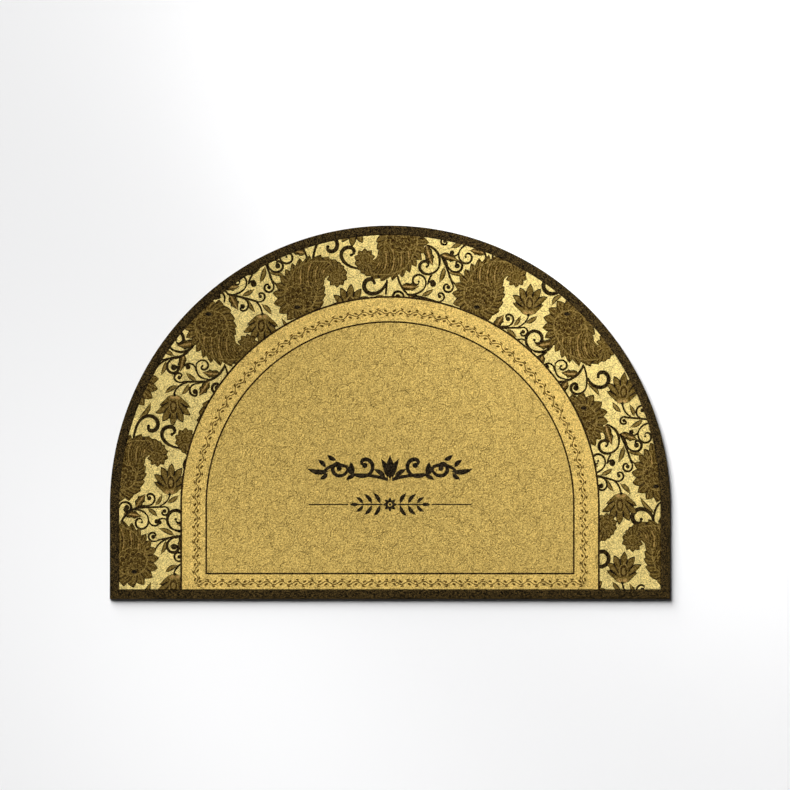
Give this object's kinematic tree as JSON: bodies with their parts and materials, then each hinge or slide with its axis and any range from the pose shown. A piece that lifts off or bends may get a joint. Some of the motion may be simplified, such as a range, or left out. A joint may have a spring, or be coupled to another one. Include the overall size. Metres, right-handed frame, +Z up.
{
  "type": "half-round doormat",
  "caption": "Flat half-round doormat of low looped pile with a printed floral arch, ring lines and ornaments, its edge bound all round with a dark tape.",
  "frame": {"origin": "middle of the mat's bounding rectangle, on its underside", "axes": "+X across the mat's width, +Y towards the round head, +Z up out of the pile"},
  "size_m": [0.9, 0.6, 0.008],
  "materials": {
    "printed_pile": "matt looped pile with a slight silky sheen, gold, printed in dark olive brown",
    "binding_tape": "matt dark brown cloth tape, folded over the edge and sewn"
  },
  "bodies": {
    "root": {"pile_panel": "printed_pile", "edge_binding": "binding_tape"}
  },
  "joints": []
}
